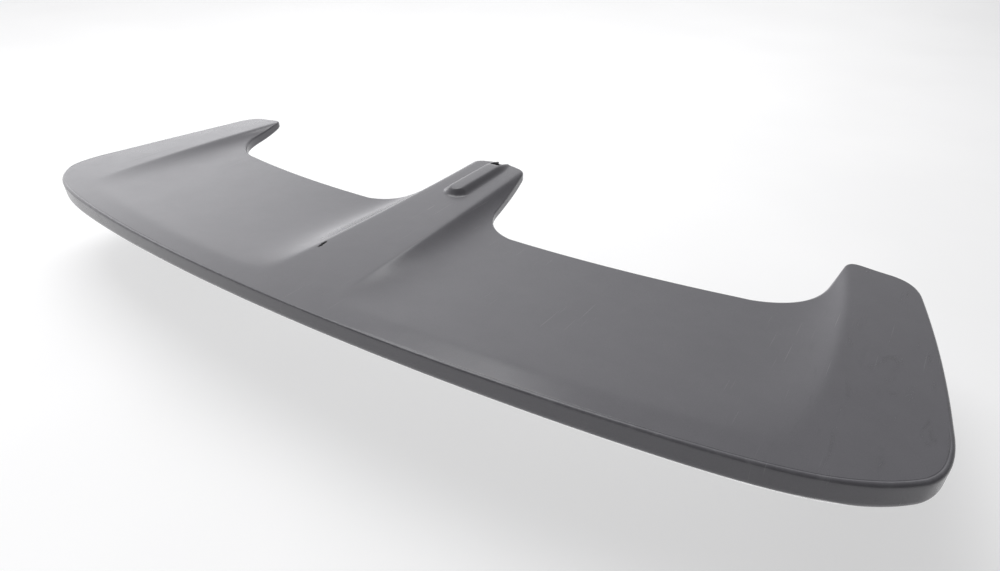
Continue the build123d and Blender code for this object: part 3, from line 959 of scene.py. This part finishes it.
def inner_primer():
    """Thinner, duller primer underneath, with the laminate's fibres printing through."""
    n = Nodes("thin_primer")
    cloud = n.ramp(n.noise(6.0, 3.0), 0.3, 0.7, 0.88, 1.1)
    spray = n.ramp(n.noise(240.0, 3.0, 0.7), 0.35, 0.65, 0.9, 1.08)
    base = n.tint((0.085, 0.085, 0.088), cloud, spray)
    fibre = n.noise(1.0, 2.0, 0.5, n.mapped((500.0, 30.0, 30.0), 0.7), 2.0)
    fibre = n.maths("MAXIMUM", fibre, n.noise(1.0, 2.0, 0.5, n.mapped((30.0, 480.0, 30.0), 0.4), 2.0))
    base = n.mix(n.ramp(fibre, 0.6, 0.75, 0.0, 0.2), base, (0.16, 0.16, 0.155))
    dust = n.maths("MULTIPLY", n.ramp(n.noise(14.0, 5.0, 0.7), 0.5, 0.7), 0.16)
    base = n.mix(dust, base, (0.27, 0.26, 0.24))
    rough = n.ramp(n.noise(50.0, 3.0), 0.3, 0.7, 0.55, 0.7)
    n.bump((n.noise(12.0), 0.2, 0.004), (fibre, 0.25, 0.0004), (n.noise(700.0), 0.15, 0.0003))
    return n.finish(base, rough, specular=0.4)


def glass_laminate():
    """Woven glass in resin over foam."""
    n = Nodes("glass_laminate_weave")
    warp, weft = n.weave(310.0, "X"), n.weave(310.0, "Y")
    upright = n.weave(310.0, "Z")
    cloth = n.maths("MULTIPLY", n.maths("ADD", warp, upright), n.maths("ADD", weft, 0.4))
    base = n.mix(n.ramp(cloth, 0.2, 1.6), (0.3, 0.31, 0.22), (0.52, 0.53, 0.42))
    base = n.mix(n.ramp(n.noise(22.0, 4.0), 0.45, 0.7, 0.0, 0.35), base, (0.24, 0.22, 0.12))
    n.bump((cloth, 0.4, 0.0004), (n.noise(90.0), 0.2, 0.0006))
    return n.finish(base, n.ramp(n.noise(120.0), 0.3, 0.7, 0.25, 0.5))


def plated_steel(name, colour, stretch):
    """Zinc plate with rolling marks, dull blooms and fine scratches."""
    n = Nodes(name)
    marks = n.noise(1.0, 3.0, 0.6, n.mapped(stretch), 0.1)
    bloom = n.noise(70.0, 5.0, 0.65)
    base = n.mix(n.ramp(bloom, 0.4, 0.7, 0.0, 0.45), colour, (0.42, 0.41, 0.38))
    base = n.tint(base, n.ramp(marks, 0.3, 0.7, 0.9, 1.06))
    rough = n.maths("ADD", n.ramp(bloom, 0.3, 0.7, 0.24, 0.42), n.ramp(marks, 0.3, 0.7, 0.0, 0.1))
    n.bump((marks, 0.15, 0.0002), (n.noise(900.0), 0.1, 0.0001))
    return n.finish(base, rough, metallic=1.0)


def foam(name, dark, light, scale, rough):
    """Cellular foam: open pores between walls, with painted shade darkening the pores."""
    n = Nodes(name)
    pores = n.cells(scale)
    small = n.cells(scale * 2.3)
    # painted shade: pore centres are coloured dark, the walls between them light
    base = n.mix(n.ramp(pores, 0.05, 0.6), dark, light)
    base = n.tint(base, n.ramp(n.noise(scale / 12), 0.3, 0.7, 0.88, 1.08))
    n.bump((pores, 0.5, 0.6 / scale), (small, 0.3, 0.3 / scale))
    return n.finish(base, n.ramp(small, 0.1, 0.6, rough - 0.08, rough), specular=0.35)


def adhesive():
    """Dark structural adhesive, tooled while soft."""
    n = Nodes("cured_adhesive")
    drag = n.noise(1.0, 3.0, 0.5, n.mapped((30.0, 30.0, 300.0)), 0.5)
    base = n.mix(n.ramp(n.noise(60.0, 4.0), 0.35, 0.7), (0.022, 0.022, 0.024), (0.055, 0.054, 0.052))
    n.bump((drag, 0.35, 0.0006), (n.noise(500.0), 0.2, 0.0002))
    return n.finish(base, n.ramp(drag, 0.3, 0.7, 0.4, 0.62))


def dress(material, *nodes):
    """Gives a carried-over CAD node its material."""
    for name in nodes:
        item = bpy.data.objects[name]
        item.data.materials.clear()
        item.data.materials.append(material)


def on_each_leg(part):
    return [f"{leg}_leg_{part}" for leg in LEGS]


skin = moulded_skin()
panel = closing_skin()
gaskets = bolt_piece("ring_gaskets", "boss_gaskets", gasket_rings)
bead = bond_bead()
inserts = bolt_piece("threaded_inserts", "m6_inserts", insert_rings)

gasket_foam = foam("gasket_cells", (0.006, 0.006, 0.006), (0.035, 0.035, 0.036), 1500.0, 0.85)
rigid_foam = foam("rigid_foam_cells", (0.34, 0.27, 0.13), (0.62, 0.54, 0.33), 1100.0, 0.9)
tape_foam = foam("tape_cells", (0.012, 0.012, 0.013), (0.05, 0.05, 0.052), 2400.0, 0.75)
insert_plating = plated_steel("insert_plating", (0.62, 0.6, 0.52), (90.0, 90.0, 1400.0))
plate_zinc = plated_steel("plate_zinc", (0.6, 0.61, 0.62), (40.0, 1200.0, 40.0))

skin.data.materials.append(primer())
panel.data.materials.append(inner_primer())
bead.data.materials.append(adhesive())
gaskets.data.materials.append(gasket_foam)
inserts.data.materials.append(insert_plating)
webs = [f"{side}_{place}_web" for side in ("left", "right") for place in ("inner", "outer")]
dress(glass_laminate(), "lip_stiffener", *webs)
dress(plate_zinc, *on_each_leg("plate"))
dress(rigid_foam, *on_each_leg("core"))
dress(tape_foam, *on_each_leg("tape"))


# ---- stage, light and camera --------------------------------------------------------
def floor_paint():
    """Pale matt floor, lit a little from within by a painted glow so that shadows stay faint, with painted
    shade that darkens it toward the right.
    """
    n = Nodes("pale_floor")
    base = n.mix(n.ramp(n.noise(2.5, 3.0), 0.3, 0.7), (0.46, 0.46, 0.463), (0.49, 0.49, 0.493))
    # painted shade: the floor's colour and glow fall off toward +X, darker on the right
    painted_shade = n.ramp(n.axis("X"), -0.2, 1.4, 1.0, 0.76)
    base = n.tint(base, painted_shade)
    # painted light: the floor glows, less toward the right, so that shadows on it stay faint
    n.link(n.tint((1.0, 1.0, 1.0), painted_shade), n.shader.inputs["Emission Color"])
    n.shader.inputs["Emission Strength"].default_value = FLOOR_GLOW
    n.bump((n.noise(60.0, 3.0), 0.05, 0.001))
    return n.finish(base, 0.85, specular=0.2)


bpy.ops.mesh.primitive_plane_add(size=14.0, location=(0.0, 0.0, FLOOR_Z))
floor = bpy.context.object
floor.name = "floor"
floor.data.materials.append(floor_paint())


def studio():
    """Soft room: bright on the far left at low height, dimmer overhead, dark behind the camera."""
    world = bpy.data.worlds.new("studio")
    bpy.context.scene.world = world
    world.use_nodes = True
    tree = world.node_tree

    def maths(operation, a, b):
        node = tree.nodes.new("ShaderNodeMath")
        node.operation = operation
        for value, socket in ((a, node.inputs[0]), (b, node.inputs[1])):
            if isinstance(value, bpy.types.NodeSocket):
                tree.links.new(value, socket)
            else:
                socket.default_value = value
        return node.outputs[0]

    def ramp(value, low, high, out_low, out_high):
        node = tree.nodes.new("ShaderNodeMapRange")
        node.interpolation_type = "SMOOTHSTEP"
        for name, number in zip(RANGE_SOCKETS, (low, high, out_low, out_high)):
            node.inputs[name].default_value = number
        tree.links.new(value, node.inputs["Value"])
        return node.outputs["Result"]

    way = tree.nodes.new("ShaderNodeTexCoord").outputs["Generated"]
    split = tree.nodes.new("ShaderNodeSeparateXYZ")
    tree.links.new(way, split.inputs[0])
    east, north, height = split.outputs
    side = maths("ADD", maths("MULTIPLY", east, BRIGHT_WAY[0]), maths("MULTIPLY", north, BRIGHT_WAY[1]))
    side = maths("POWER", maths("MULTIPLY", maths("ADD", side, 1.0), 0.5), SIDE_POWER)
    glow = maths("MULTIPLY", side, ramp(height, 0.0, 0.35, WALL_LIGHT, CEILING_LIGHT))
    tree.links.new(maths("ADD", glow, ROOM_LIGHT), tree.nodes["Background"].inputs["Strength"])
    tree.nodes["Background"].inputs["Color"].default_value = (1.0, 1.0, 1.02, 1.0)


studio()


def area_light(name, location, target, size, power):
    """Soft rectangular light that the camera doesn't see; places and sizes in metres, power in watts."""
    light = bpy.data.lights.new(name, "AREA")
    light.shape = "RECTANGLE"
    light.size, light.size_y = size
    light.energy = power
    lamp = bpy.data.objects.new(name, light)
    lamp.location = location
    aim = Vector(target) - Vector(location)
    lamp.rotation_euler = aim.to_track_quat("-Z", "Y").to_euler()
    lamp.visible_camera = False
    bpy.context.scene.collection.objects.link(lamp)


# a broad light from above and behind, and light thrown back up from the floor under the lip
area_light("overhead", (-0.9, 0.5, 2.2), (-0.1, 0, 0), (2.2, 1.6), 40)
area_light("floor_bounce", (0.05, -0.17, -0.11), (0.05, -0.17, 1.0), (1.0, 0.22), 1.3)


def camera():
    """The photograph's point of view."""
    azimuth, elevation, roll = (math.radians(angle) for angle in (AZIMUTH, ELEVATION, ROLL))
    back = Vector((
        math.sin(azimuth) * math.cos(elevation),
        -math.cos(azimuth) * math.cos(elevation),
        math.sin(elevation),
    ))
    right = (-back).cross(Vector((0, 0, 1))).normalized()
    up = right.cross(-back)
    rolled_right = math.cos(roll) * right + math.sin(roll) * up
    rolled_up = math.cos(roll) * up - math.sin(roll) * right
    data = bpy.data.cameras.new("camera")
    data.sensor_width = 36.0
    data.lens = LENS
    data.shift_y = SHIFT_Y
    data.clip_end = 50.0
    item = bpy.data.objects.new("camera", data)
    axes = Matrix((rolled_right, rolled_up, back)).transposed().to_4x4()
    item.matrix_world = Matrix.Translation(CAMERA_PLACE) @ axes
    bpy.context.scene.collection.objects.link(item)
    bpy.context.scene.camera = item


camera()
bpy.context.scene.view_settings.view_transform = "Standard"
